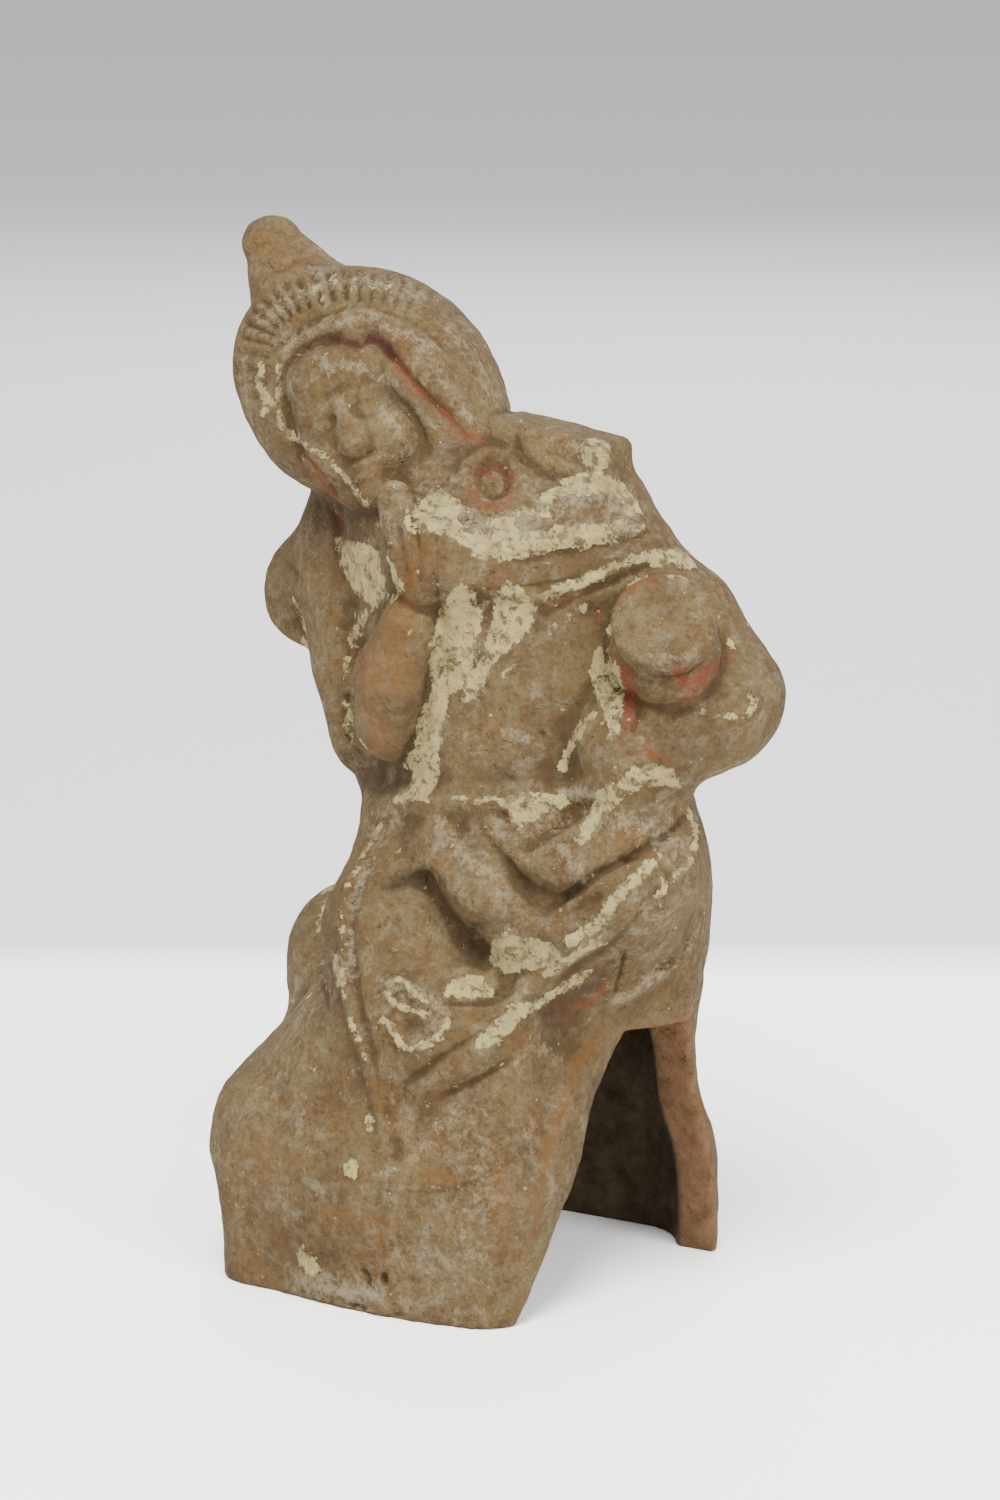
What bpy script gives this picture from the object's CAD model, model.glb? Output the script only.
"""Roman figurine: a hollow terracotta figure that holds a pot, with remains of its paint."""
import math

import bpy
import numpy as np
from mathutils import Matrix, Vector


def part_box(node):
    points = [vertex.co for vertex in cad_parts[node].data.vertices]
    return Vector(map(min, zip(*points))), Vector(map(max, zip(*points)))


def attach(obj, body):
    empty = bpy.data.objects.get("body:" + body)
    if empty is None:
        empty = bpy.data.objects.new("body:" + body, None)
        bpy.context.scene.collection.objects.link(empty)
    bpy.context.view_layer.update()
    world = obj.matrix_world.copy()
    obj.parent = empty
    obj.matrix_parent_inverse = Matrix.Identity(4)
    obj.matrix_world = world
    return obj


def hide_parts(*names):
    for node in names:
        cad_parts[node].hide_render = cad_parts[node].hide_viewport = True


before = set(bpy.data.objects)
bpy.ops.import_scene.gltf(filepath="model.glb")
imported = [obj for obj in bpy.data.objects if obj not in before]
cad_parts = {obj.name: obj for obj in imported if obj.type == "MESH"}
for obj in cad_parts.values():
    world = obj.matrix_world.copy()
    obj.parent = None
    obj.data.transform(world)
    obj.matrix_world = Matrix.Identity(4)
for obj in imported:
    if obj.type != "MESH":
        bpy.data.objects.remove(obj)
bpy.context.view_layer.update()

# Grid that the form is sampled on, in mm
CELL = 0.45
GRID_LOW = (-44.0, -36.0, -1.8)
GRID_HIGH = (45.6, 30.0, 141.6)
TRIANGLES = 192000
# Form coordinates to row frame, in mm
FORM_SHIFT = (-0.413, 4.189, 0.0)
# Clay wall, height of the break in the side and rise of the coat's remnants, in mm
WALL = 6
GAP_TOP = 34.5
COAT_RISE = 0.14
# Uneven skin on all faces: (height in mm, size of its bumps in mm, seed)
SKIN = ((0.17, 3.4, 1), (0.08, 1.3, 2))

# Photograph's camera, in the row frame
IMAGE_WIDTH = 1000.0
IMAGE_HEIGHT = 1500.0
VIEW_AZIMUTH = 30.0
VIEW_ELEVATION = 13.0
VIEW_DISTANCE = 0.700
VIEW_TARGET = (-0.00041, 0.00419, 0.0700)
SENSOR_HEIGHT = 36.0
LENS = 125.5
PIXELS_PER_SLOPE = LENS / SENSOR_HEIGHT * IMAGE_HEIGHT

FLOOR_COLOUR = (0.98, 0.98, 0.96)
BACKDROP_COLOUR = (0.56, 0.56, 0.57)
FLOOR_REACH = 8.0
# How far behind the part, in metres, the floor starts and ends to turn grey
FLOOR_TURNS_GREY = (0.143, 0.165)

# Colours of the clay and of what lies on it
CLAY = (0.096, 0.056, 0.020)
CLAY_TAN = (0.140, 0.094, 0.038)
CLAY_ORANGE = (0.125, 0.057, 0.015)
CLAY_DARK = (0.038, 0.021, 0.009)
STAIN = (0.062, 0.044, 0.027)
DUST = (0.190, 0.165, 0.105)
PALE = (0.275, 0.235, 0.150)
CREAM = (0.360, 0.295, 0.135)
CREAM_WORN = (0.230, 0.180, 0.085)
RED = (0.155, 0.032, 0.014)
MAROON = (0.040, 0.009, 0.008)
SOOT = (0.030, 0.025, 0.013)
CUT_EDGE = (0.175, 0.092, 0.048)
INSIDE = (0.085, 0.062, 0.038)

BUMP_HEIGHT = 0.0007

# Low relief on the front, drawn as lines in the photograph's frame: (points, width in pixels, height
# in mm). A negative height is a groove.
RELIEF = (
    # Bud and wreath
    (((255, 302), (273, 284), (298, 271), (322, 266), (345, 268)), 5, 0.4),
    (((258, 312), (278, 294), (300, 281), (325, 276), (350, 278)), 4, -0.35),
    (((274, 350), (300, 332), (330, 314), (362, 306), (395, 314), (425, 329), (448, 352),
     (463, 382)), 5, -0.45),
    (((286, 392), (288, 350), (316, 333), (346, 322), (374, 318), (400, 335), (426, 352), (446, 388),
      (470, 420)), 8, 0.35),
    (((293, 365), (306, 351), (322, 343), (338, 340), (355, 345), (371, 340), (384, 346), (396, 362),
      (412, 382), (430, 400), (451, 418), (468, 436)), 5.5, -0.9),
    (((285, 363), (284, 392), (288, 425), (300, 455), (318, 474), (332, 497), (338, 530)), 5, -0.7),
    # Hair beside and above the brow
    (((312, 372), (318, 396)), 5, 0.4),
    (((331, 362), (330, 384)), 5, 0.4),
    (((352, 358), (355, 378)), 5, 0.4),
    (((373, 361), (380, 381)), 5, 0.4),
    (((392, 374), (404, 396)), 5, 0.4),
    (((411, 398), (425, 421)), 5, 0.4),
    (((429, 424), (441, 447)), 5, 0.4),
    # Curl or ear-lock beside the neck
    (((466, 486), (470, 465), (490, 453), (510, 460), (518, 478)), 5, 0.7),
    (((480, 490), (480, 474), (494, 466), (507, 474), (507, 490), (494, 498), (482, 491)), 4.5, -0.8),
    # Shoulder, arm and hand on the left of the view
    (((276, 552), (300, 585), (316, 640), (332, 692), (350, 730)), 6, -0.5),
    (((299, 595), (296, 628)), 5, 0.5),
    (((388, 598), (364, 640), (348, 690), (348, 732), (366, 760)), 6, -0.8),
    (((438, 600), (441, 640), (431, 690), (421, 735), (402, 762)), 6, -1.0),
    (((398, 522), (406, 575)), 3.5, -0.5),
    (((416, 520), (421, 582)), 3.5, -0.5),
    (((437, 540), (438, 598)), 3.5, -0.45),
    (((400, 602), (420, 612), (441, 609)), 4, -0.35),
    # Edge of the mantle across the chest
    (((500, 562), (546, 553), (592, 546), (649, 534)), 4, -0.45),
    (((500, 576), (546, 571), (592, 564), (640, 549), (668, 540)), 7, 0.5),
    (((505, 590), (541, 585), (592, 577), (630, 562), (662, 549)), 3.5, -0.45),
    (((546, 598), (569, 589), (599, 578), (628, 565), (661, 558), (692, 562)), 7, 0.45),
    (((546, 617), (576, 601), (610, 586), (642, 575)), 4, -0.45),
    # Shoulder block
    (((540, 472), (576, 482), (610, 488), (642, 500)), 5, -0.6),
    (((517, 428), (522, 455), (542, 470)), 5, -0.5),
    # Belly
    (((530, 738), (531, 738)), 10, 0.5),
    (((544, 734), (545, 735)), 3, -0.5),
    # Lap and knees
    (((437, 817), (455, 845), (475, 870), (500, 893), (530, 918)), 9, 0.5),
    (((483, 830), (495, 846), (508, 866), (522, 884), (538, 905)), 7, -1.0),
    (((588, 808), (562, 826), (540, 840), (522, 850)), 7, -0.9),
    (((600, 836), (575, 852), (548, 866), (525, 872)), 7, 0.5),
    (((688, 818), (676, 833), (658, 843), (638, 855), (612, 869), (596, 879), (570, 898),
     (548, 913)), 4.5, -1.0),
    (((662, 852), (646, 864), (625, 875), (606, 884), (582, 900), (558, 915)), 7, 0.8),
    (((620, 858), (630, 861), (640, 860)), 2.2, -0.6),
    (((657, 866), (630, 890), (610, 914), (590, 934), (565, 957), (540, 985), (510, 1010),
     (480, 1046)), 10, 0.5),
    (((672, 880), (646, 912), (616, 946), (585, 965), (560, 985)), 5, -0.5),
    (((692, 814), (700, 834), (694, 863), (680, 876), (664, 908)), 5, 0.5),
    (((666, 878), (664, 908), (656, 933)), 3, 0.4),
    (((628, 952), (623, 974), (617, 996)), 1.8, -0.5),
    (((616, 1003), (640, 988), (660, 972), (694, 944)), 7, 0.5),
    (((384, 888), (410, 881), (440, 885)), 10, -0.9),
    (((462, 916), (486, 908), (508, 910), (535, 921), (562, 938)), 5, 0.6),
    (((440, 898), (454, 924), (468, 944), (484, 962)), 11, -0.5),
    (((470, 928), (500, 926), (530, 936)), 5, -0.5),
    # Seam and hanging edges on the left
    (((362, 860), (346, 890), (342, 920), (343, 955), (348, 998), (358, 1040), (370, 1075),
     (384, 1130)), 4, 0.55),
    (((374, 866), (357, 892), (353, 922), (354, 955), (359, 998), (369, 1040), (381, 1080)), 5, -0.5),
    (((328, 912), (321, 940), (321, 980), (329, 1012)), 3, -0.4),
    # Knot on the front of the skirt
    (((428, 1002), (412, 989), (398, 981), (387, 988), (392, 1000), (410, 1010), (436, 1018)), 4, 0.5),
    (((450, 1021), (438, 1040), (418, 1050), (402, 1046), (393, 1030), (400, 1016)), 4, 0.5),
    (((412, 1029), (420, 1029)), 7, -0.5),
    (((442, 996), (457, 978), (478, 974), (497, 988)), 4, 0.4),
    (((444, 1004), (472, 1004), (498, 1002)), 3, -0.45),
    # Folds under the knot
    (((488, 1028), (460, 1046), (432, 1066), (407, 1084)), 5, -0.7),
    (((508, 1050), (470, 1068), (440, 1080), (416, 1092)), 5, 0.5),
    (((514, 1062), (478, 1082), (442, 1098)), 4, -0.6),
    (((384, 1130), (381, 1146), (382, 1162)), 4, 0.4),
    (((394, 1138), (399, 1150), (394, 1162)), 6, -0.5),
    (((315, 1186), (345, 1186), (380, 1179)), 3, 0.3),
    (((400, 1192), (440, 1192), (490, 1176), (530, 1150)), 5, -0.35),
    (((384, 1277), (385, 1283)), 3, -0.9),
    (((361, 1270), (368, 1277), (370, 1288)), 2.5, -0.6),
    (((344, 1310), (358, 1309), (366, 1314)), 4, -0.7),
    (((390, 1318), (398, 1317), (406, 1321)), 4, -0.7),
    (((448, 1329), (456, 1328), (462, 1331)), 4, -0.7),
    # Pot, forearm and elbow
    (((626, 660), (650, 672), (676, 678), (704, 668)), 4, -0.5),
    (((774, 664), (779, 670)), 5, -0.6),
    (((632, 690), (640, 712), (634, 735)), 5, -0.5),
)

# The wreath's flutes: the middle of their band, about how far apart its points lie, the flutes'
# spacing and half their length in pixels, and their depth in mm
FLUTE_BAND = ((258, 440), (251, 408), (249, 374), (255, 340), (268, 315), (290, 299), (320, 288), (354, 283),
              (388, 287), (420, 301), (450, 322), (473, 348), (488, 378), (496, 408))
FLUTE_POINT_SPACING = 31.0
FLUTE_SPACING = 14.0
FLUTE_REACH = 17.0
FLUTE_DEPTH = 0.75

# Flakes of the cream ground coat that are left on the front, as outlines in the photograph's frame
FLAKES = (
    ((412, 512), (424, 500), (440, 486), (452, 496), (470, 512), (500, 518), (530, 508), (552, 490),
     (574, 476), (606, 474), (632, 488), (646, 512), (648, 532), (620, 544), (590, 549), (560, 552),
     (530, 557), (500, 561), (482, 558), (464, 545), (444, 533), (416, 530)),
    ((424, 706), (432, 694), (448, 694), (446, 738), (439, 756), (442, 774), (436, 791), (430, 802),
     (409, 804), (394, 804), (392, 799), (411, 787), (414, 774), (404, 765), (404, 757), (415, 749),
     (418, 722)),
    ((499, 802), (506, 796), (531, 793), (549, 793), (567, 796), (572, 804), (562, 813), (549, 814),
     (536, 822), (527, 825), (522, 831), (513, 825), (510, 814)),
    ((636, 768), (656, 766), (674, 768), (684, 781), (686, 790), (669, 788), (646, 788), (631, 796),
     (623, 807), (608, 812), (604, 822), (595, 832), (594, 842), (587, 848), (576, 844), (576, 835),
     (585, 822), (595, 809), (598, 794), (610, 786), (621, 782), (628, 774)),
    ((461, 583), (475, 590), (482, 609), (484, 624), (478, 650), (474, 675), (462, 690), (446, 700),
     (433, 695), (429, 660), (433, 636), (440, 613), (450, 594)),
    ((508, 581), (525, 590), (541, 609), (531, 632), (518, 645), (505, 656), (495, 668), (484, 690),
     (476, 702), (468, 705), (460, 700), (470, 680), (484, 655), (492, 625), (497, 600)),
    ((650, 556), (665, 548), (690, 552), (702, 566), (695, 578), (672, 580), (655, 572)),
    ((594, 652), (606, 646), (617, 648), (624, 665), (628, 689), (626, 715), (622, 740), (612, 730),
     (608, 721), (602, 705), (596, 690), (592, 670)),
    ((335, 538), (360, 543), (386, 551), (398, 570), (403, 595), (390, 604), (374, 609), (355, 592),
     (342, 571)),
    ((585, 441), (600, 438), (614, 446), (616, 462), (606, 473), (590, 470), (580, 458)),
    ((514, 1004), (538, 1002), (536, 1012), (520, 1024), (514, 1033), (502, 1045), (490, 1050),
     (478, 1056), (472, 1050), (481, 1034), (496, 1022)),
    ((490, 962), (493, 941), (505, 933), (529, 938), (550, 944), (568, 953), (560, 962), (550, 970),
     (530, 972), (508, 975)),
    ((442, 995), (457, 977), (478, 974), (496, 989), (496, 999), (472, 1001), (455, 1000)),
    ((332, 960), (340, 950), (346, 962), (347, 985), (345, 999), (336, 985)),
    ((345, 1162), (352, 1158), (359, 1163), (357, 1176), (350, 1181), (344, 1175)),
    ((295, 1248), (303, 1246), (317, 1258), (320, 1272), (312, 1278), (300, 1265)),
)

# Where bare clay shows through the flakes: (points, width in pixels)
BARE = (
    (((566, 512), (612, 510)), 17),
    (((524, 524), (548, 526)), 9),
    (((466, 520), (482, 524)), 8),
    (((626, 540), (640, 520)), 7),
)

# Narrow remains of the same coat: (points, half width in pixels)
FLAKE_LINES = (
    (((546, 597), (569, 588), (599, 577), (628, 563), (661, 556), (690, 562)), 6),
    (((555, 629), (556, 629)), 4.5),
    (((567, 618), (568, 618)), 4.5),
    (((585, 609), (586, 609)), 5),
    (((597, 716), (585, 728), (575, 745), (564, 771)), 4.5),
    (((614, 720), (614, 740)), 3.5),
    (((374, 609), (362, 622), (352, 640)), 5),
    (((346, 705), (350, 734), (366, 754)), 3.5),
    (((348, 664), (348, 690)), 4.5),
    (((655, 866), (640, 880), (628, 890), (615, 905), (610, 914), (595, 929), (574, 943)), 7),
    (((604, 941), (590, 950), (580, 956), (560, 968), (550, 974)), 5.5),
    (((586, 977), (575, 983), (565, 989), (550, 998), (538, 1007)), 5),
    (((385, 986), (400, 980), (412, 989), (427, 1001)), 3.5),
    (((388, 995), (400, 1007), (430, 1016)), 3.5),
    (((448, 1022), (436, 1040), (418, 1049), (403, 1046), (394, 1030), (385, 1022)), 4.5),
    (((362, 862), (346, 890), (343, 920), (344, 950)), 1.5),
    (((350, 1019), (358, 1040), (368, 1064)), 2.2),
    (((692, 814), (700, 832), (694, 863), (682, 873), (674, 883), (661, 898)), 3.5),
    (((659, 850), (664, 858)), 2.5),
    (((666, 878), (664, 908)), 1.5),
    (((370, 1120), (370, 1129)), 4),
    (((450, 796), (465, 800), (483, 802), (498, 798)), 2.5),
    (((755, 696), (759, 707), (750, 716), (739, 719), (720, 715), (707, 712)), 3.5),
    (((261, 369), (259, 390), (268, 400), (271, 406), (261, 414)), 4.5),
    (((279, 367), (279, 420), (302, 445), (334, 465), (351, 486), (367, 506)), 3),
    (((409, 509), (411, 531), (444, 533), (464, 545), (486, 561), (505, 561), (533, 556), (558, 551)), 2.5),
    (((388, 517), (394, 562), (404, 592)), 1.5),
    (((552, 632), (553, 633)), 2.5),
    (((517, 666), (505, 677)), 2.2),
    (((359, 862), (370, 845), (382, 825)), 2),
    (((316, 288), (317, 288)), 4.5),
    (((333, 282), (334, 282)), 4.5),
    (((353, 282), (355, 293)), 3.5),
    (((373, 286), (374, 286)), 4.5),
    (((389, 290), (390, 290)), 4),
    (((322, 300), (323, 300)), 3.5),
    (((726, 632), (738, 650)), 2.5),
)

# Softer tints on the front: (points, width in pixels, strength)
TINTS = {
    "pale": (
        (((287, 395), (287, 347), (316, 332), (346, 320), (372, 316), (400, 335), (428, 350), (447, 388),
          (473, 422)), 11, 0.6),
        (((430, 505), (470, 525), (520, 525), (560, 505), (600, 490), (630, 520)), 22, 0.75),
        (((500, 545), (560, 535), (630, 530)), 12, 0.8),
        (((440, 820), (455, 847), (483, 870), (503, 885)), 15, 0.6),
        (((564, 850), (585, 880)), 11, 0.7),
        (((566, 794), (595, 794)), 9, 0.8),
        (((508, 735), (529, 740)), 10, 0.75),
        (((694, 935), (709, 930)), 12, 0.6),
        (((619, 1001), (655, 980), (694, 944)), 9, 0.75),
        (((300, 1280), (340, 1290), (374, 1296)), 17, 0.8),
        (((544, 1050), (559, 1062)), 9, 0.6),
        (((400, 817), (378, 835), (366, 822)), 8, 0.6),
        (((318, 355), (330, 370), (353, 366), (380, 374), (396, 386)), 10, 0.6),
        (((450, 330), (478, 365), (498, 400)), 14, 0.5),
        (((385, 412), (398, 432)), 12, 0.7),
        (((390, 484), (404, 486)), 8, 0.65),
        (((262, 322), (290, 300), (330, 285), (380, 284), (420, 296)), 12, 0.6),
        (((244, 360), (246, 400), (262, 445)), 9, 0.5),
        (((385, 985), (440, 1010), (420, 1045)), 16, 0.6),
        (((620, 640), (650, 656), (690, 658)), 5, 0.5),
        (((550, 440), (600, 452)), 12, 0.5),
        (((480, 700), (470, 640), (490, 600)), 15, 0.5),
        (((520, 950), (560, 958)), 14, 0.6),
        (((380, 1180), (410, 1165), (440, 1130)), 12, 0.45),
        (((690, 840), (690, 900)), 8, 0.5),
        (((600, 820), (650, 826), (680, 850)), 20, 0.6),
        (((500, 830), (560, 822)), 20, 0.5),
        (((640, 900), (670, 920)), 18, 0.5),
        (((470, 1120), (480, 1190), (470, 1270)), 34, 0.42),
        (((300, 1010), (270, 1080)), 24, 0.4),
        (((372, 862), (352, 920), (352, 990)), 9, 0.6),
    ),
    "red": (
        (((397, 363), (412, 382), (424, 394), (440, 408), (451, 418), (465, 435), (485, 441)), 8, 0.7),
        (((298, 452), (312, 465), (322, 480), (331, 496), (338, 514), (337, 534)), 7, 0.7),
        (((470, 484), (478, 500), (498, 508), (516, 494), (506, 474), (486, 474)), 10, 0.62),
        (((606, 632), (604, 614), (615, 600), (628, 592), (645, 582), (657, 579)), 7, 0.8),
        (((626, 672), (634, 696), (632, 722)), 10, 1.0),
        (((684, 676), (697, 685), (713, 671), (727, 654)), 12, 1.0),
        (((610, 990), (590, 1002), (566, 1014)), 13, 0.6),
        (((646, 746), (662, 758), (680, 764)), 4, 0.8),
        (((636, 722), (650, 742)), 5, 0.6),
        (((510, 466), (530, 480)), 8, 0.35),
    ),
    "maroon": (
        (((293, 361), (306, 351), (322, 343), (338, 340), (355, 345), (371, 340), (383, 346),
         (393, 358)), 6, 1.0),
        (((285, 363), (285, 404)), 4, 0.7),
        (((335, 515), (337, 540)), 5, 0.6),
    ),
    "orange": (
        (((255, 271), (280, 268), (302, 262), (318, 256)), 9, 0.7),
        (((615, 674), (628, 682), (638, 690)), 8, 0.8),
        (((686, 701), (700, 700)), 9, 0.7),
        (((602, 1030), (581, 1068), (560, 1120), (546, 1174), (535, 1240)), 9, 0.9),
        (((406, 1170), (430, 1176), (455, 1182)), 15, 0.8),
        (((332, 1215), (365, 1222), (397, 1230)), 15, 0.7),
        (((257, 1150), (299, 1158)), 12, 0.6),
        (((500, 1170), (505, 1220), (512, 1265)), 18, 0.6),
        (((240, 1250), (258, 1266)), 12, 0.7),
        (((646, 863), (608, 884), (582, 898)), 7, 0.6),
        (((585, 809), (559, 827), (540, 842)), 8, 0.5),
        (((640, 742), (655, 758)), 9, 0.6),
        (((660, 1030), (675, 1080), (690, 1150), (706, 1220)), 12, 0.8),
        (((380, 930), (400, 950), (430, 960)), 16, 0.4),
        (((380, 1060), (378, 1110)), 10, 0.5),
        (((500, 1060), (540, 1075)), 14, 0.4),
        (((386, 620), (372, 690), (384, 748)), 22, 0.85),
        (((414, 560), (404, 620), (396, 690)), 22, 0.85),
    ),
    "dark": (
        (((360, 528), (386, 548)), 9, 0.8),
        (((446, 486), (451, 487)), 6, 0.7),
        (((316, 503), (318, 528)), 6, 0.6),
        (((329, 542), (331, 543)), 4, 0.8),
        (((406, 746), (408, 747)), 3.5, 0.9),
        (((544, 734), (545, 734)), 3, 0.9),
        (((572, 531), (574, 531)), 5, 0.7),
        (((523, 524), (548, 526)), 8, 0.4),
        (((384, 888), (410, 880), (440, 884)), 13, 0.75),
        (((444, 932), (465, 944), (486, 954)), 12, 0.4),
        (((402, 1026), (428, 1030)), 8, 0.6),
        (((411, 1212), (416, 1217)), 11, 0.5),
        (((636, 672), (667, 687), (697, 678)), 6, 0.5),
        (((622, 858), (638, 860)), 2.5, 0.8),
        (((628, 954), (619, 992)), 1.8, 0.8),
        (((534, 903), (518, 880), (500, 850)), 6, 0.35),
        (((384, 1277), (385, 1283)), 4, 0.9),
        (((494, 836), (480, 838)), 9, 0.3),
        (((590, 512), (600, 512)), 20, 0.35),
    ),
}
TINT_LAYERS = tuple(TINTS)


# Forms in millimetres. Each gives the distance of every sample from its surface.
def axes(lean, turn, nod):
    """Rotation that leans sideways, turns about the height and nods forwards, in degrees."""
    lean, turn, nod = np.radians([lean, turn, nod])
    lean_part = np.array([[np.cos(lean), 0, np.sin(lean)], [0, 1, 0], [-np.sin(lean), 0, np.cos(lean)]])
    turn_part = np.array([[np.cos(turn), -np.sin(turn), 0], [np.sin(turn), np.cos(turn), 0], [0, 0, 1]])
    nod_part = np.array([[1, 0, 0], [0, np.cos(nod), -np.sin(nod)], [0, np.sin(nod), np.cos(nod)]])
    return (lean_part @ turn_part @ nod_part).astype(np.float32)


def seen_from(p, centre, turn=None):
    """The samples in the frame of a turned form."""
    q = [p[i] - np.float32(centre[i]) for i in range(3)]
    if turn is None:
        return q
    return [q[0] * turn[0, i] + q[1] * turn[1, i] + q[2] * turn[2, i] for i in range(3)]


def ball(p, centre, radii, turn=None):
    q = seen_from(p, centre, turn)
    near = np.sqrt(sum((q[i] / np.float32(radii[i])) ** 2 for i in range(3))) + np.float32(1e-6)
    steep = np.sqrt(sum((q[i] / np.float32(radii[i] ** 2)) ** 2 for i in range(3))) + np.float32(1e-6)
    return near * (near - 1) / steep


def rod(p, start, end, start_radius, end_radius):
    start = np.asarray(start, np.float32)
    way = np.asarray(end, np.float32) - start
    q = [p[i] - start[i] for i in range(3)]
    t = np.clip((q[0] * way[0] + q[1] * way[1] + q[2] * way[2]) / np.float32(way @ way), 0, 1)
    reach = np.sqrt(sum((q[i] - t * way[i]) ** 2 for i in range(3)))
    return reach - (np.float32(start_radius) + t * np.float32(end_radius - start_radius))


def block(p, centre, half, edge, turn=None):
    q = seen_from(p, centre, turn)
    d = [np.abs(q[i]) - np.float32(half[i] - edge) for i in range(3)]
    outside = np.sqrt(sum(np.maximum(side, 0) ** 2 for side in d))
    return outside + np.minimum(np.maximum(np.maximum(d[0], d[1]), d[2]), 0) - np.float32(edge)


def horseshoe(q, wide, tall, tube, deep, forward, left_end, right_end):
    """An arch of oval section in its own frame. Its ends are angles from the top, in degrees."""
    ratio = np.sqrt((q[0] / wide) ** 2 + (q[2] / tall) ** 2) + np.float32(1e-6)
    ring = (ratio - 1) * np.sqrt(q[0] ** 2 + q[2] ** 2) / ratio
    angle = np.degrees(np.arctan2(q[0] / wide, q[2] / tall))
    past = np.minimum(left_end + angle, right_end - angle)
    thick = tube * np.sqrt(np.clip(past / 30, 0, 1))
    return np.sqrt(ring ** 2 + ((q[1] - forward) / deep) ** 2) - thick + (thick < 0.01)


def join(a, b, soft):
    h = np.maximum(np.float32(soft) - np.abs(a - b), 0) / np.float32(soft)
    return np.minimum(a, b) - h * h * np.float32(soft / 4)


def carve(a, b, soft):
    return -join(-a, b, soft)


HEAD_TURN = axes(-25, 16, 0)
WREATH_TURN = axes(-66, 16, 0)
FACE_TURN = axes(-25, 16, -4)


def torso(p):
    f = ball(p, (4.6, 1, 72.3), (21.4, 17.5, 18))
    f = join(f, ball(p, (4.5, 1, 88.6), (24.5, 17.5, 16)), 9)
    f = join(f, ball(p, (5, 3, 57.3), (21, 20, 14)), 8)
    f = join(f, rod(p, (-3.1, 0, 95.6), (-12.3, 0, 109.6), 14, 12), 8)
    f = join(f, rod(p, (-20.5, 3, 92.8), (11, 3, 102.1), 10.5, 9), 6)
    f = join(f, rod(p, (-25.8, 2, 101.5), (-28.4, 3, 91.5), 4.2, 6), 4)
    return join(f, ball(p, (2.5, -2, 99), (18, 14, 13)), 6)


def left_arm(p):
    f = block(p, (9.6, -1, 109.0), (8.6, 4.8, 5.6), 1.6, axes(9, 4, 0))
    f = join(f, rod(p, (15.8, 1, 99.2), (27.4, 1, 89.8), 6.7, 7.2), 3)
    f = join(f, rod(p, (27.4, 1, 89.8), (34.2, 1, 81.2), 7.2, 7.6), 2)
    f = join(f, rod(p, (34.2, -2, 79.8), (26.5, -10, 75.4), 8.1, 7.6), 2)
    return join(f, ball(p, (13, 0, 94), (11, 12, 10)), 4)


def right_arm(p):
    f = rod(p, (-22.7, -3, 89.8), (-16.4, -6, 71.4), 6, 5.6)
    f = join(f, ball(p, (-31.7, 2, 88.2), (5.8, 5.5, 7.5)), 3)
    return join(f, rod(p, (-21.5, 2, 79.6), (-12.6, 3, 56.5), 7.4, 7), 5)


def right_hand(p):
    f = rod(p, (-7.8, -14.8, 75.7), (-6, -15.9, 82.4), 5.0, 5.8)
    f = join(f, rod(p, (-6, -15.9, 82.4), (-3.2, -16.8, 89.2), 5.8, 4.5), 1)
    f = join(f, ball(p, (-0.2, -16.6, 98.2), (6.1, 4.8, 6.4)), 1.2)
    f = join(f, rod(p, (-3.8, -17, 100.8), (-6, -16.8, 106), 3.2, 2.4), 1.5)
    return join(f, rod(p, (2.3, -16, 99.2), (9, -14.8, 98.9), 3.7, 2.6), 2)


def legs(p):
    f = rod(p, (-7, -4, 56.2), (-6.1, -16, 48.6), 11, 9.5)
    f = join(f, rod(p, (13.8, 0, 60.7), (24.5, -8, 61.3), 12, 9.5), 5)
    f = join(f, ball(p, (9.6, -6, 53.2), (18, 17, 15)), 8)
    f = join(f, block(p, (2.6, -6, 26), (14.4, 23, 20), 10), 6)
    f = join(f, block(p, (-12, -6, 21), (11.5, 20, 17), 9, axes(24, 0, -14)), 6)
    return join(f, rod(p, (-5.5, -17, 46.9), (0.7, -21, 36.4), 8.5, 8), 6)


def skirt(p):
    f = block(p, (3.6, 6.5, 20), (22.4, 7.5, 24), 7)
    f = join(f, block(p, (-0.5, 4, 20), (18.5, 18, 24), 9), 3)
    f = join(f, ball(p, (2, 7, 46), (19, 16.5, 11)), 6)
    f = join(f, ball(p, (0, -19.5, 8), (17, 12, 22)), 5)
    f = join(f, ball(p, (-26.2, -19, 20), (5.2, 7.5, 7)), 4)
    f = join(f, ball(p, (-8, -12, 22), (19.5, 18, 20)), 8)
    f = join(f, rod(p, (-24, -13, 20), (-21.2, 0.5, 35), 6.8, 6.2), 6)
    f = join(f, ball(p, (-22.9, 3, 37.6), (10.8, 12, 11)), 6)
    f = join(f, rod(p, (12.5, -17, 20), (14.5, -6.5, 35), 6.5, 6.5), 5)
    return join(f, ball(p, (18.6, 4, 49), (9.7, 13, 13.5)), 6)


def front_block(p, inset=0.0, corner=6.0):
    return block(p, (-4.7, -11.32, 0), (23.2 - inset, 19.43 - inset, 22 - inset), corner)


def back_block(p, inset=0.0, corner=16.0):
    return block(p, (0, 5.33, 0), (27.2 - inset, 19.43 - inset, 27 - inset), corner)


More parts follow.
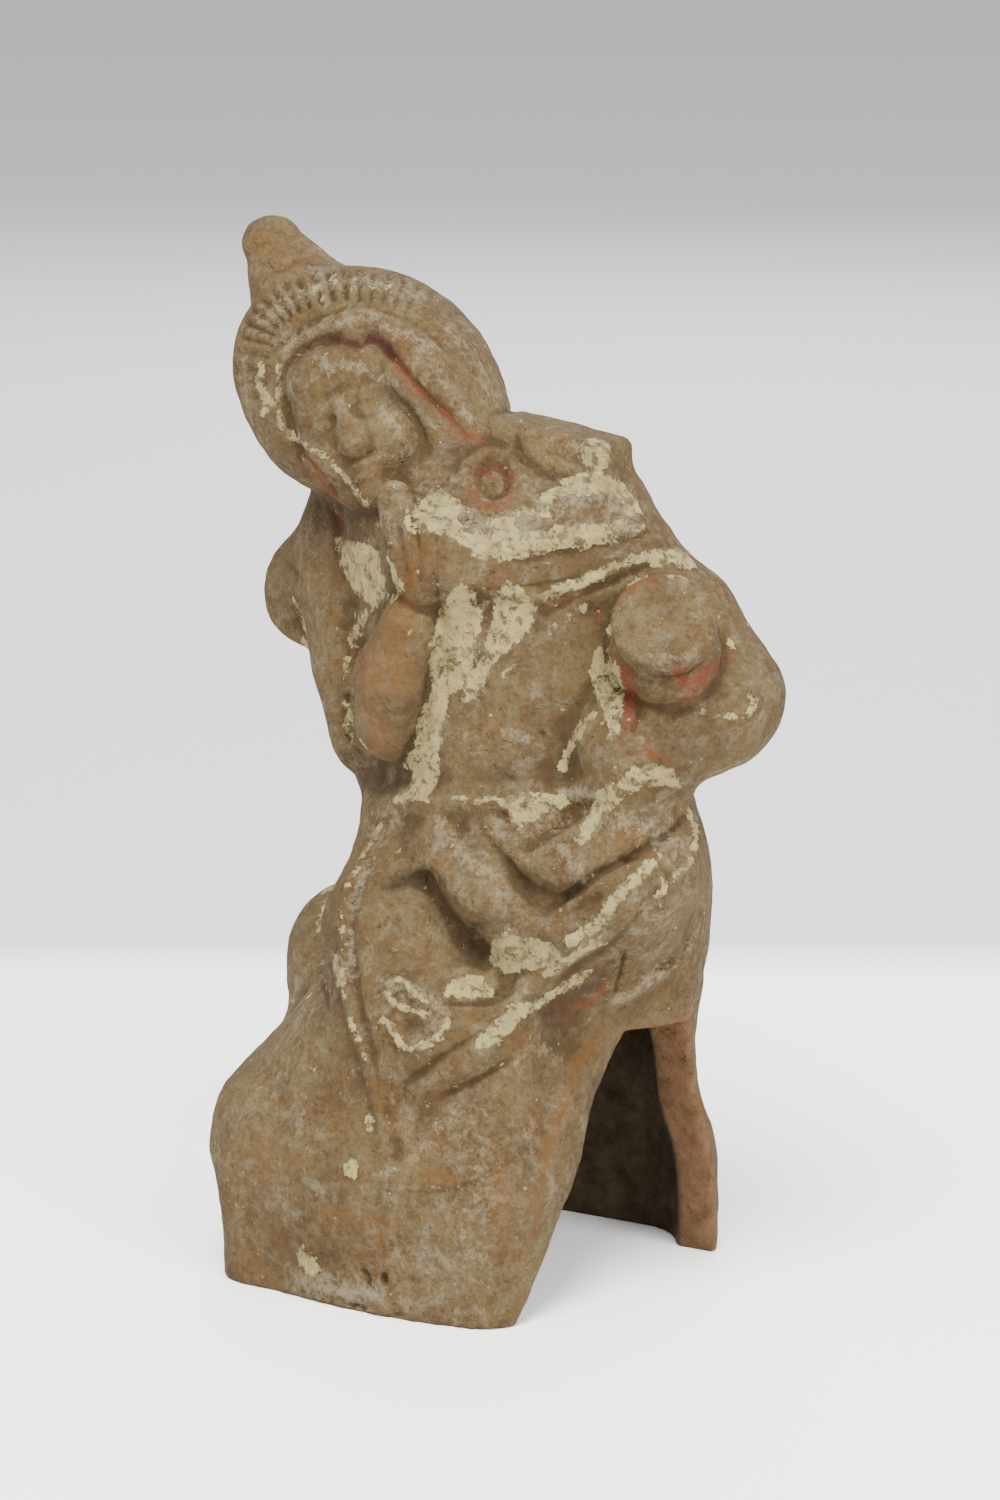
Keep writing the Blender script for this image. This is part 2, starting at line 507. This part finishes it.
# Folds of the cloth: (x, z) points in mm, width and height. A negative height is a valley.
FOLDS = (
    (((4.7, 96.6), (13.7, 96.5), (24, 99.8), (34, 103)), 2.2, 1.5),
    (((15.9, 93.6), (24, 96.2), (31.2, 99)), 1.3, 0.9),
    (((-14, 63.1), (1.1, 66.8), (16.4, 69.2), (25.6, 71.5)), 1.6, 1.0),
    (((0.2, 61.2), (7, 56.7), (14.5, 53.7), (22.7, 52.1)), 2.6, 1.9),
    (((31.7, 61.9), (25.9, 56.3), (20, 50.8)), 2.6, 1.7),
    (((8.5, 64), (14.5, 60.8), (20.5, 59.5), (26.4, 61.9)), 1.8, 1.0),
    (((33, 60.5), (27.9, 53.4), (19.4, 45.4), (10.8, 36.6)), 2.6, 2.1),
    (((34.2, 60), (32, 52.6), (26.5, 44.9)), 2.4, 1.5),
    (((-1.2, 57.6), (3.1, 54.4), (7.6, 49.6), (12.1, 46.8)), 2.6, -2.2),
    (((11.5, 62), (17.5, 57), (22, 56), (27.9, 59.4)), 2.0, -1.3),
    (((11.2, 42.2), (18.7, 43.3), (27.5, 50.5)), 2.2, -1.4),
)


def smooth_path(points, steps=5):
    """A Catmull-Rom curve through the points."""
    points = [np.asarray(point, float) for point in points]
    if len(points) < 3:
        return points
    ends = [2 * points[0] - points[1]] + points + [2 * points[-1] - points[-2]]
    path = []
    for a, b, c, d in zip(ends, ends[1:], ends[2:], ends[3:]):
        for step in range(steps):
            t = step / steps
            path.append(0.5 * (2 * b + (c - a) * t + (2 * a - 5 * b + 4 * c - d) * t * t
                               + (3 * b - a - 3 * c + d) * t ** 3))
    path.append(points[-1])
    return path


def path_reach(u, v, path):
    """Distance of (u, v) from a path, and the share of the path where it is nearest."""
    nearest = None
    count = len(path) - 1
    for index in range(count):
        start = path[index]
        way = path[index + 1] - start
        t = np.clip(((u - start[0]) * way[0] + (v - start[1]) * way[1]) / max(way @ way, 1e-9), 0, 1)
        reach = (u - start[0] - t * way[0]) ** 2 + (v - start[1] - t * way[1]) ** 2
        share = (index + t) / count
        if nearest is None:
            nearest, along = reach, share
        else:
            along = np.where(reach < nearest, share, along)
            nearest = np.minimum(nearest, reach)
    return np.sqrt(nearest), along


def ridge(u, v, points, width, height, taper=0.3):
    """A soft ridge along the points, lower at its two ends."""
    reach, along = path_reach(u, v, smooth_path(points))
    return height * np.exp(-(reach / width) ** 2) * np.clip(4 * along * (1 - along) + taper, 0, 1)


def drapery(p):
    x = p[0][:, :, 0]
    z = p[2][0, :, :]
    height = sum(ridge(x, z, *fold) for fold in FOLDS)
    return (height[:, None, :] * np.clip(-p[1] / 6, 0, 1)).astype(np.float32)


def head(p):
    f = ball(p, (-20.7, 3, 115.9), (14.5, 12, 15), HEAD_TURN)
    q = seen_from(p, (-18.9, -1.5, 117), WREATH_TURN)
    wreath = horseshoe(q, 10.7, 15.6, 5.0, 1.6, 0, 106, 178)
    wreath = join(wreath, horseshoe(q, 8.6, 12.4, 3.2, 1.5, -4, 104, 170), 2)
    f = join(f, ball(p, (-17.6, -5, 116.4), (12, 7.4, 12), HEAD_TURN), 2)
    f = join(f, rod(p, (-8.5, -5.5, 120), (-2.5, -4.5, 112.5), 5.5, 5.5), 4)
    f = join(f, wreath, 4.0)
    return join(f, rod(p, (-32.0, 3, 127), (-36.9, 2.5, 135.0), 8.0, 4.2), 2)


def face(p):
    q = seen_from(p, (-15.5, -8.5, 113.3), FACE_TURN)
    f = ball(q, (0, 0, 0), (9.2, 7.6, 11.6))
    f = join(f, ball(q, (0, -1.4, 7.8), (8.8, 5.6, 5.0)), 1.5)
    f = join(f, ball(q, (0, -6.8, 0.6), (1.3, 1.6, 3.4)), 1.6)
    f = join(f, ball(q, (0, -7.5, -2.2), (1.8, 1.7, 1.5)), 1)
    for side in (-1, 1):
        f = carve(f, ball(q, (side * 3.6, -7.8, 1.8), (2.6, 1.3, 1.5)), 1.2)
        f = join(f, ball(q, (side * 3.5, -6.1, 1.5), (1.8, 1, 0.9)), 0.5)
        f = join(f, ball(q, (side * 4.8, -4.2, -3), (2.8, 2.5, 3)), 2)
    f = join(f, ball(q, (0, -6.5, -5.2), (2.2, 1, 0.65)), 0.5)
    f = join(f, ball(q, (0, -6.1, -6.6), (1.9, 1, 0.7)), 0.5)
    return join(f, ball(q, (0, -4.7, -9), (2.8, 2.1, 1.9)), 1.4)


def pot(p):
    f = ball(p, (30.5, -9.5, 88), (7.4, 7, 6.8))
    normal = np.array((0.279, -0.659, 0.699), np.float32)
    q = seen_from(p, (32.6, -13.5, 92.6))
    height = q[0] * normal[0] + q[1] * normal[1] + q[2] * normal[2]
    radius = np.sqrt(np.maximum(q[0] ** 2 + q[1] ** 2 + q[2] ** 2 - height ** 2, 0))
    across = radius - 6.2
    above = np.abs(height) - 1.0
    disc = np.sqrt(np.maximum(across, 0) ** 2 + np.maximum(above, 0) ** 2)
    disc = disc + np.minimum(np.maximum(across, above), 0) - 0.8
    return join(f, disc, 1.2)


def hollow(p):
    f = join(front_block(p, WALL, 9), back_block(p, WALL, 9), 5)
    f = join(f, block(p, (0.7, -0.5, 18), (19, 17, 20), 9), 5)
    f = join(f, ball(p, (1, 0, 38), (15.5, 13, 32)), 6)
    f = join(f, ball(p, (4, 2, 76), (18.5, 12, 26)), 6)
    f = join(f, rod(p, (3, 1.5, 84), (-9, 1.5, 103), 9, 7), 6)
    return join(f, rod(p, (-9, 1.5, 103), (-19, 1.5, 114), 7, 7), 4)


def side_gap(p):
    """The break in the side: a wedge that narrows upwards and widens outwards from the hollow."""
    share = p[2] / np.float32(GAP_TOP)
    front = -21.9 + 24.4 * share - 0.4 * (p[0] - 6)
    back = 13 - 7 * share
    return np.maximum(np.maximum(front - p[1], p[1] - back), np.maximum(6 - p[0], p[2] - GAP_TOP))


def whole(p):
    f = torso(p)
    f = join(f, left_arm(p), 3)
    f = join(f, right_arm(p), 3)
    f = join(f, right_hand(p), 2)
    f = join(f, legs(p), 6)
    f = join(f, skirt(p), 6)
    f = join(f, front_block(p), 8)
    f = join(f, back_block(p), 6)
    f = f - drapery(p)
    f = join(f, head(p), 1.6)
    f = join(f, face(p), 0.8)
    f = join(f, pot(p), 1.2)
    f = carve(f, hollow(p), 1.0)
    f = carve(f, side_gap(p), 1.0)
    return np.maximum(f, -p[2])


def surface_net(samples, low, step):
    """Vertices and quads of the surface where the samples are zero."""
    inside = samples < 0
    size = samples.shape
    count = np.zeros([n - 1 for n in size], np.int8)
    corners = [(i, j, k) for i in (0, 1) for j in (0, 1) for k in (0, 1)]
    for i, j, k in corners:
        count += inside[i:size[0] - 1 + i, j:size[1] - 1 + j, k:size[2] - 1 + k]
    active = (count > 0) & (count < 8)
    cells = np.argwhere(active)
    index = -np.ones(active.shape, np.int64)
    index[active] = np.arange(len(cells))
    values = {corner: samples[tuple((cells + corner).T)] for corner in corners}
    total = np.zeros((len(cells), 3))
    crossings = np.zeros(len(cells))
    for start in corners:
        for axis in range(3):
            if start[axis]:
                continue
            end = tuple(1 if a == axis else start[a] for a in range(3))
            first, last = values[start], values[end]
            crosses = (first < 0) != (last < 0)
            t = np.where(crosses, first / np.where(crosses, first - last, 1), 0)
            way = np.array(end, float) - start
            total += (np.array(start, float) + t[:, None] * way) * crosses[:, None]
            crossings += crosses
    vertices = (cells + total / crossings[:, None]) * step + low
    quads = []
    for axis in range(3):
        u, w = (axis + 1) % 3, (axis + 2) % 3
        first = [slice(None)] * 3
        last = [slice(None)] * 3
        first[axis] = slice(0, -1)
        last[axis] = slice(1, None)
        start_inside = inside[tuple(first)]
        edges = np.argwhere(start_inside != inside[tuple(last)])
        fits = (edges[:, u] > 0) & (edges[:, w] > 0)
        fits &= (edges[:, u] < size[u] - 1) & (edges[:, w] < size[w] - 1)
        edges = edges[fits]
        back_u = np.zeros(3, int)
        back_u[u] = 1
        back_w = np.zeros(3, int)
        back_w[w] = 1
        ring = [edges - back_u - back_w, edges - back_w, edges, edges - back_u]
        quad = np.stack([index[tuple(cell.T)] for cell in ring], 1)
        flip = ~start_inside[tuple(edges.T)]
        quad[flip] = quad[flip][:, ::-1]
        quads.append(quad)
    return vertices, np.concatenate(quads)


def mesh_from(name, vertices, faces):
    mesh = bpy.data.meshes.new(name)
    mesh.vertices.add(len(vertices))
    mesh.vertices.foreach_set("co", vertices.astype(np.float32).ravel())
    size = faces.shape[1]
    mesh.loops.add(len(faces) * size)
    mesh.loops.foreach_set("vertex_index", faces.astype(np.int32).ravel())
    mesh.polygons.add(len(faces))
    mesh.polygons.foreach_set("loop_start", np.arange(0, len(faces) * size, size, dtype=np.int32))
    mesh.update(calc_edges=True)
    mesh.validate()
    return mesh


def thinned(mesh, triangles):
    """The mesh with no more than that many triangles."""
    holder = bpy.data.objects.new("thinning", mesh)
    bpy.context.scene.collection.objects.link(holder)
    full = sum(len(polygon.vertices) - 2 for polygon in mesh.polygons)
    modifier = holder.modifiers.new("thin", "DECIMATE")
    modifier.ratio = min(1.0, triangles / full)
    graph = bpy.context.evaluated_depsgraph_get()
    result = bpy.data.meshes.new_from_object(holder.evaluated_get(graph))
    bpy.data.objects.remove(holder)
    return result


def sampled_form():
    ticks = [np.arange(low, high + CELL, CELL, dtype=np.float32) for low, high in zip(GRID_LOW, GRID_HIGH)]
    p = (ticks[0][:, None, None], ticks[1][None, :, None], ticks[2][None, None, :])
    vertices, quads = surface_net(whole(p), np.array(GRID_LOW), CELL)
    return mesh_from("figurine_look", vertices, quads)


def lattice_noise(points, size, seed):
    """Smooth noise from -1 to 1 with bumps of that size, at points in mm."""
    table = np.random.default_rng(seed).uniform(-1, 1, 4096)
    spot = points / size
    cell = np.floor(spot).astype(np.int64)
    share = spot - cell
    share = share * share * (3 - 2 * share)
    total = np.zeros(len(points))
    for i in (0, 1):
        for j in (0, 1):
            for k in (0, 1):
                key = (cell[:, 0] + i) * 73856093 ^ (cell[:, 1] + j) * 19349663 ^ (cell[:, 2] + k) * 83492791
                weight = 1.0
                for axis, corner in enumerate((i, j, k)):
                    weight = weight * (share[:, axis] if corner else 1 - share[:, axis])
                total += table[key % 4096] * weight
    return total


def view_frame():
    """The camera's place and its right, up and back directions."""
    azimuth, elevation = math.radians(VIEW_AZIMUTH), math.radians(VIEW_ELEVATION)
    back = Vector((math.sin(azimuth) * math.cos(elevation), -math.cos(azimuth) * math.cos(elevation),
                   math.sin(elevation)))
    right = Vector((math.cos(azimuth), math.sin(azimuth), 0.0))
    up = back.cross(right)
    return Vector(VIEW_TARGET) + back * VIEW_DISTANCE, right, up, back


def make_camera():
    data = bpy.data.cameras.new("camera")
    data.sensor_fit = "VERTICAL"
    data.sensor_height = SENSOR_HEIGHT
    data.lens = LENS
    data.dof.use_dof = False
    camera = bpy.data.objects.new("camera", data)
    place, right, up, back = view_frame()
    turn = Matrix((right, up, back)).transposed().to_4x4()
    camera.matrix_world = Matrix.Translation(place) @ turn
    bpy.context.scene.collection.objects.link(camera)
    bpy.context.scene.camera = camera


def make_light(name, place, size, watts):
    data = bpy.data.lights.new(name, "AREA")
    data.shape = "DISK"
    data.size = size
    data.energy = watts
    light = bpy.data.objects.new(name, data)
    light.location = place
    way = Vector(VIEW_TARGET) - Vector(place)
    light.rotation_euler = way.to_track_quat("-Z", "Y").to_euler()
    bpy.context.scene.collection.objects.link(light)


def plain_material(name, colour, roughness):
    material = bpy.data.materials.new(name)
    material.use_nodes = True
    shader = material.node_tree.nodes["Principled BSDF"]
    shader.inputs["Base Color"].default_value = (*colour, 1.0)
    shader.inputs["Roughness"].default_value = roughness
    return material


def make_stage():
    """A wide pale floor that turns greyer behind the part, where its own Y runs away from the camera."""
    mesh = bpy.data.meshes.new("floor")
    corners = ((-1, -1), (1, -1), (1, 1), (-1, 1))
    mesh.from_pydata([(x * FLOOR_REACH, y * FLOOR_REACH, 0) for x, y in corners], [], [(0, 1, 2, 3)])
    mesh.materials.append(floor_material())
    floor = bpy.data.objects.new("floor", mesh)
    floor.rotation_euler = (0, 0, math.radians(VIEW_AZIMUTH))
    bpy.context.scene.collection.objects.link(floor)


def floor_material():
    material = plain_material("floor", FLOOR_COLOUR, 0.9)
    graph = Graph(material)
    parts = graph.tree.nodes.new("ShaderNodeSeparateXYZ")
    graph.put(parts.inputs[0], graph.coordinates)
    behind = graph.ramp(parts.outputs["Y"], *FLOOR_TURNS_GREY)
    colour = graph.mix(behind, FLOOR_COLOUR, BACKDROP_COLOUR)
    graph.put(material.node_tree.nodes["Principled BSDF"].inputs["Base Color"], colour)
    return material


def make_world():
    world = bpy.data.worlds.new("studio")
    world.use_nodes = True
    background = world.node_tree.nodes["Background"]
    background.inputs["Color"].default_value = (1.0, 1.0, 1.0, 1.0)
    background.inputs["Strength"].default_value = 0.95
    bpy.context.scene.world = world


class PhotoView:
    """The vertices as the photograph's camera sees them: their pixels and how plainly each shows."""

    def __init__(self, vertices, normals):
        place, right, up, back = (np.array(part) for part in view_frame())
        arm = vertices - place
        self.depth = -(arm @ back)
        self.x = IMAGE_WIDTH / 2 + PIXELS_PER_SLOPE * (arm @ right) / self.depth
        self.y = IMAGE_HEIGHT / 2 - PIXELS_PER_SLOPE * (arm @ up) / self.depth
        toward = -arm / np.linalg.norm(arm, axis=1)[:, None]
        facing = np.clip((np.sum(normals * toward, axis=1) - 0.02) / 0.22, 0, 1)
        self.shows = facing * self.in_front()

    def in_front(self, cell=5.0, slack=0.0035):
        """1 where nothing lies nearer to the camera on the same sight line."""
        columns = (self.x / cell).astype(int) + 1
        rows = (self.y / cell).astype(int) + 1
        nearest = np.full((int(IMAGE_WIDTH / cell) + 3, int(IMAGE_HEIGHT / cell) + 3), np.inf)
        np.minimum.at(nearest, (columns, rows), self.depth)
        around = nearest.copy()
        for i in (-1, 0, 1):
            for j in (-1, 0, 1):
                around = np.minimum(around, np.roll(nearest, (i, j), (0, 1)))
        return np.clip(1 - (self.depth - around[columns, rows] - slack) / 0.001, 0, 1)

    def near_path(self, points, margin):
        """Which vertices lie near a line, how far they are from it and where along it."""
        path = np.array(smooth_path(points))
        low, high = path.min(0) - margin, path.max(0) + margin
        within = (self.x > low[0]) & (self.x < high[0]) & (self.y > low[1]) & (self.y < high[1])
        chosen = np.flatnonzero(within)
        reach, along = path_reach(self.x[chosen], self.y[chosen], path)
        return chosen, reach, along

    def soft_line(self, points, width):
        chosen, reach, along = self.near_path(points, 2.5 * width)
        return chosen, np.exp(-(reach / width) ** 2), along


def relief_heights(view):
    """Height of the low relief at each vertex, in mm."""
    height = np.zeros(len(view.x))
    for points, width, rise in RELIEF:
        chosen, strength, along = view.soft_line(points, width)
        ends = np.clip(4 * along * (1 - along) + 0.4, 0, 1) if len(points) > 2 else 1.0
        height[chosen] += rise * strength * ends
    chosen, reach, along = view.near_path(FLUTE_BAND, FLUTE_REACH + 8)
    length = len(FLUTE_BAND) * FLUTE_POINT_SPACING
    wave = 0.5 + 0.5 * np.cos(2 * np.pi * along * length / FLUTE_SPACING)
    window = np.clip((FLUTE_REACH + 4 - reach) / 6, 0, 1) * np.clip(4 * along * (1 - along), 0, 1)
    height[chosen] -= FLUTE_DEPTH * wave * window * (1 - 0.5 * np.clip((along - 0.5) / 0.3, 0, 1))
    return height * view.shows


def outline_depth(x, y, corners):
    """How far (x, y) lies inside an outline, below zero outside."""
    corners = np.asarray(corners, float)
    nearest = np.full(len(x), np.inf)
    inside = np.zeros(len(x), bool)
    for start, end in zip(corners, np.roll(corners, -1, axis=0)):
        way = end - start
        t = np.clip(((x - start[0]) * way[0] + (y - start[1]) * way[1]) / (way @ way), 0, 1)
        nearest = np.minimum(nearest, np.hypot(x - start[0] - t * way[0], y - start[1] - t * way[1]))
        crosses = (start[1] > y) != (end[1] > y)
        slope = way[0] / (way[1] if way[1] else 1e-9)
        inside ^= crosses & (x < start[0] + (y - start[1]) * slope)
    return np.where(inside, nearest, -nearest)


def flake_cover(view, far=14.0):
    """From 0 to 1, with 0.5 at the edge of each remnant of the cream coat."""
    depth = np.full(len(view.x), -far)
    for corners in FLAKES:
        low, high = np.min(corners, axis=0) - far, np.max(corners, axis=0) + far
        near = (view.x > low[0]) & (view.x < high[0]) & (view.y > low[1]) & (view.y < high[1])
        chosen = np.flatnonzero(near)
        depth[chosen] = np.maximum(depth[chosen], outline_depth(view.x[chosen], view.y[chosen], corners))
    for points, half in FLAKE_LINES:
        chosen, reach, _ = view.near_path(points, half + far)
        depth[chosen] = np.maximum(depth[chosen], half - reach)
    for points, width in BARE:
        chosen, soft, _ = view.soft_line(points, width)
        depth[chosen] = np.minimum(depth[chosen], far * (1 - 2 * soft))
    depth = np.where(view.shows > 0.4, depth, -far)
    return np.clip(0.5 + depth / (2 * far), 0, 1)


def tint_cover(view, lines):
    cover = np.zeros(len(view.x))
    for points, width, strength in lines:
        chosen, soft, _ = view.soft_line(points, width)
        cover[chosen] = np.maximum(cover[chosen], strength * soft)
    return cover * view.shows


def fitted(vertices):
    """Vertices in metres, moved the last hair so that their box is the CAD solid's box."""
    low, high = (np.array(corner, float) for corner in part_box("figurine"))
    own_low, own_high = vertices.min(0), vertices.max(0)
    return low + (vertices - own_low) * (high - low) / (own_high - own_low)


def vectors(items, name):
    """One vector per mesh item as rows."""
    flat = np.empty(len(items) * 3, np.float32)
    items.foreach_get(name, flat)
    return flat.reshape(-1, 3).astype(float)


def set_points(mesh, points):
    mesh.vertices.foreach_set("co", points.astype(np.float32).ravel())
    mesh.update()


def photo_view(mesh):
    places = (vectors(mesh.vertices, "co") + FORM_SHIFT) / 1000
    return PhotoView(places, vectors(mesh.vertex_normals, "vector"))


def worn(mesh):
    """Raises the low relief and the coat's remnants, and gives all faces a slightly uneven skin."""
    points = vectors(mesh.vertices, "co")
    view = photo_view(mesh)
    flakes = np.clip((flake_cover(view) - 0.47) / 0.06, 0, 1)
    height = relief_heights(view) + COAT_RISE * flakes
    height += sum(rise * lattice_noise(points, size, seed) for rise, size, seed in SKIN)
    height *= np.clip(points[:, 2] / 0.6, 0, 1)
    set_points(mesh, points + vectors(mesh.vertex_normals, "vector") * height[:, None])


def recess_cover(mesh, points, normals, rounds=14):
    """From 0 on open faces and edges to 1 in hollows, by how far the neighbourhood lies above a point."""
    ends = np.empty(len(mesh.edges) * 2, np.int32)
    mesh.edges.foreach_get("vertices", ends)
    first, last = ends.reshape(-1, 2).T
    share = np.bincount(first, minlength=len(points)) + np.bincount(last, minlength=len(points))
    smooth = points.copy()
    for _ in range(rounds):
        total = np.zeros_like(smooth)
        for axis in range(3):
            total[:, axis] = np.bincount(first, smooth[last, axis], len(points))
            total[:, axis] += np.bincount(last, smooth[first, axis], len(points))
        smooth = total / share[:, None]
    lift = np.sum((smooth - points) * normals, axis=1)
    return np.clip(0.5 + lift / 0.9, 0, 1)


def hidden_flakes(points):
    """Remnants of the coat on the sides that the photograph doesn't show."""
    spread = 0.6 * lattice_noise(points, 9.0, 11) + 0.4 * lattice_noise(points, 3.4, 12)
    return np.clip(0.5 + (spread - 0.36) * 0.5, 0, 1)


def paint_layers(mesh):
    """Where each colour lies, as one number per vertex and layer."""
    points = vectors(mesh.vertices, "co")
    normals = vectors(mesh.vertex_normals, "vector")
    view = photo_view(mesh)
    columns = tuple(points.T.astype(np.float32)[:, None, None, :])
    layers = {name: tint_cover(view, TINTS[name]) for name in TINT_LAYERS}
    layers["recess"] = recess_cover(mesh, points, normals)
    within = hollow(columns).ravel()
    layers["inside"] = np.clip((1.2 - within) / 1.0, 0, 1)
    layers["cut"] = np.clip((1.3 - side_gap(columns).ravel()) / 0.8, 0, 1) * np.clip(within / 0.8, 0, 1)
    plain = np.clip(1 - view.shows / 0.4, 0, 1) * (1 - layers["inside"]) * (1 - layers["cut"])
    layers["cream"] = np.maximum(flake_cover(view), hidden_flakes(points) * plain)
    for name, values in layers.items():
        layer = mesh.attributes.new(name, "FLOAT", "POINT")
        layer.data.foreach_set("value", values.astype(np.float32))


class Graph:
    """Short ways to add a material's nodes."""

    def __init__(self, material):
        self.tree = material.node_tree
        self.coordinates = self.tree.nodes.new("ShaderNodeTexCoord").outputs["Object"]

    def put(self, socket, value):
        if isinstance(value, bpy.types.NodeSocket):
            self.tree.links.new(value, socket)
        elif isinstance(value, tuple):
            socket.default_value = (*value, 1.0)
        else:
            socket.default_value = value

    def attribute(self, name):
        node = self.tree.nodes.new("ShaderNodeAttribute")
        node.attribute_name = name
        return node.outputs["Fac"]

    def noise(self, size, detail=4.0, roughness=0.55, distortion=0.0):
        """Noise with bumps of about that many mm."""
        node = self.tree.nodes.new("ShaderNodeTexNoise")
        self.put(node.inputs["Vector"], self.coordinates)
        node.inputs["Scale"].default_value = 1000 / size
        node.inputs["Detail"].default_value = detail
        node.inputs["Roughness"].default_value = roughness
        node.inputs["Distortion"].default_value = distortion
        return node.outputs["Fac"]

    def ramp(self, value, low, high, start=0.0, end=1.0):
        node = self.tree.nodes.new("ShaderNodeMapRange")
        for socket, item in zip(node.inputs, (value, low, high, start, end)):
            self.put(socket, item)
        return node.outputs["Result"]

    def maths(self, operation, first, second):
        node = self.tree.nodes.new("ShaderNodeMath")
        node.operation = operation
        self.put(node.inputs[0], first)
        self.put(node.inputs[1], second)
        return node.outputs["Value"]

    def mix(self, share, first, second):
        node = self.tree.nodes.new("ShaderNodeMix")
        node.data_type = "RGBA"
        self.put(node.inputs[0], share)
        self.put(node.inputs[6], first)
        self.put(node.inputs[7], second)
        return node.outputs[2]


def clay_colour(graph):
    """Bare clay: brown, tan and orange areas under a thin grey dust."""
    colour = graph.mix(graph.ramp(graph.noise(14, 4), 0.38, 0.62), CLAY, CLAY_TAN)
    orange = graph.ramp(graph.noise(8, 5, 0.6, 0.6), 0.50, 0.70, 0.0, 0.6)
    colour = graph.mix(orange, colour, CLAY_ORANGE)
    stain = graph.ramp(graph.noise(5.5, 7, 0.68, 0.5), 0.48, 0.64, 0.0, 0.45)
    colour = graph.mix(stain, colour, STAIN)
    specks = graph.ramp(graph.noise(0.7, 5, 0.75), 0.36, 0.60, 0.55, 0.0)
    colour = graph.mix(specks, colour, CLAY_DARK)
    veil = graph.maths("MULTIPLY", graph.ramp(graph.noise(1.8, 9, 0.78), 0.47, 0.62),
                       graph.ramp(graph.noise(12, 4), 0.35, 0.65, 0.10, 0.60))
    colour = graph.mix(veil, colour, DUST)
    smear = graph.maths("MULTIPLY", graph.ramp(graph.noise(5, 9, 0.8, 0.4), 0.53, 0.66),
                        graph.ramp(graph.noise(0.8, 4, 0.7), 0.35, 0.65, 0.2, 0.7))
    colour = graph.mix(smear, colour, PALE)
    return graph.mix(graph.ramp(graph.attribute("recess"), 0.50, 0.72, 0.0, 0.65), colour, CLAY_DARK)


def broken_share(graph, name, most, size=1.2):
    """A tint's share, eaten into by noise where it thins out."""
    ragged = graph.ramp(graph.noise(size, 8, 0.80), 0.30, 0.70, -0.85, 0.45)
    return graph.ramp(graph.maths("ADD", graph.attribute(name), ragged), 0.20, 0.80, 0.0, most)


def coat_cover(graph):
    """Where the cream coat lies: crisp ragged flakes with holes, and crumbs in between."""
    ragged = graph.ramp(graph.noise(1.3, 8, 0.72), 0.32, 0.68, -0.17, 0.13)
    cover = graph.ramp(graph.maths("ADD", graph.attribute("cream"), ragged), 0.490, 0.515)
    holes = graph.ramp(graph.noise(1.7, 7, 0.78), 0.53, 0.60, 1.0, 0.1)
    crumbs = graph.ramp(graph.noise(1.3, 4, 0.6), 0.68, 0.70, 0.0, 0.8)
    return graph.maths("MAXIMUM", graph.maths("MULTIPLY", cover, holes), crumbs)


def terracotta():
    material = plain_material("terracotta", CLAY, 0.9)
    graph = Graph(material)
    shader = material.node_tree.nodes["Principled BSDF"]
    colour = clay_colour(graph)
    for name, tint, most in (("orange", CLAY_ORANGE, 0.7), ("pale", PALE, 0.7), ("dark", SOOT, 0.7),
                             ("red", RED, 0.8), ("maroon", MAROON, 0.85)):
        colour = graph.mix(broken_share(graph, name, most), colour, tint)
    cover = coat_cover(graph)
    coat = graph.mix(graph.ramp(graph.noise(2.6, 8, 0.75), 0.38, 0.60), CREAM_WORN, CREAM)
    colour = graph.mix(cover, colour, coat)
    cut = graph.mix(graph.ramp(graph.noise(2.2, 7, 0.75), 0.38, 0.60), CLAY, CUT_EDGE)
    colour = graph.mix(graph.attribute("cut"), colour, cut)
    inner = graph.mix(graph.ramp(graph.noise(4.0, 6, 0.7), 0.35, 0.7), INSIDE, CLAY_DARK)
    colour = graph.mix(graph.attribute("inside"), colour, inner)
    graph.put(shader.inputs["Base Color"], colour)
    graph.put(shader.inputs["Roughness"], graph.ramp(graph.noise(2.0, 5), 0.3, 0.7, 0.84, 0.97))
    shader.inputs["Specular IOR Level"].default_value = 0.15
    grain = graph.maths("ADD", graph.noise(0.6, 6, 0.75), graph.noise(2.1, 7, 0.7))
    pits = graph.ramp(graph.noise(1.1, 2, 0.5), 0.28, 0.36, -0.6, 0.0)
    height = graph.maths("ADD", graph.maths("ADD", grain, pits), graph.maths("MULTIPLY", cover, 0.4))
    bump = material.node_tree.nodes.new("ShaderNodeBump")
    bump.inputs["Strength"].default_value = 1.0
    bump.inputs["Distance"].default_value = BUMP_HEIGHT
    graph.put(bump.inputs["Height"], height)
    graph.put(shader.inputs["Normal"], bump.outputs["Normal"])
    return material


def make_figurine():
    dense = sampled_form()
    worn(dense)
    mesh = thinned(dense, TRIANGLES)
    paint_layers(mesh)
    set_points(mesh, fitted((vectors(mesh.vertices, "co") + FORM_SHIFT) / 1000))
    mesh.polygons.foreach_set("use_smooth", np.ones(len(mesh.polygons), bool))
    mesh.materials.clear()
    mesh.materials.append(terracotta())
    figurine = bpy.data.objects.new("figurine_look", mesh)
    bpy.context.scene.collection.objects.link(figurine)
    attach(figurine, "root")
    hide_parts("figurine")


make_camera()
make_stage()
make_world()
make_light("key", (0.10, -0.45, 0.90), 0.5, 23)
make_light("fill", (0.75, -0.30, 0.50), 0.6, 12)
make_light("back", (-0.30, 0.70, 0.60), 0.8, 9)
make_figurine()
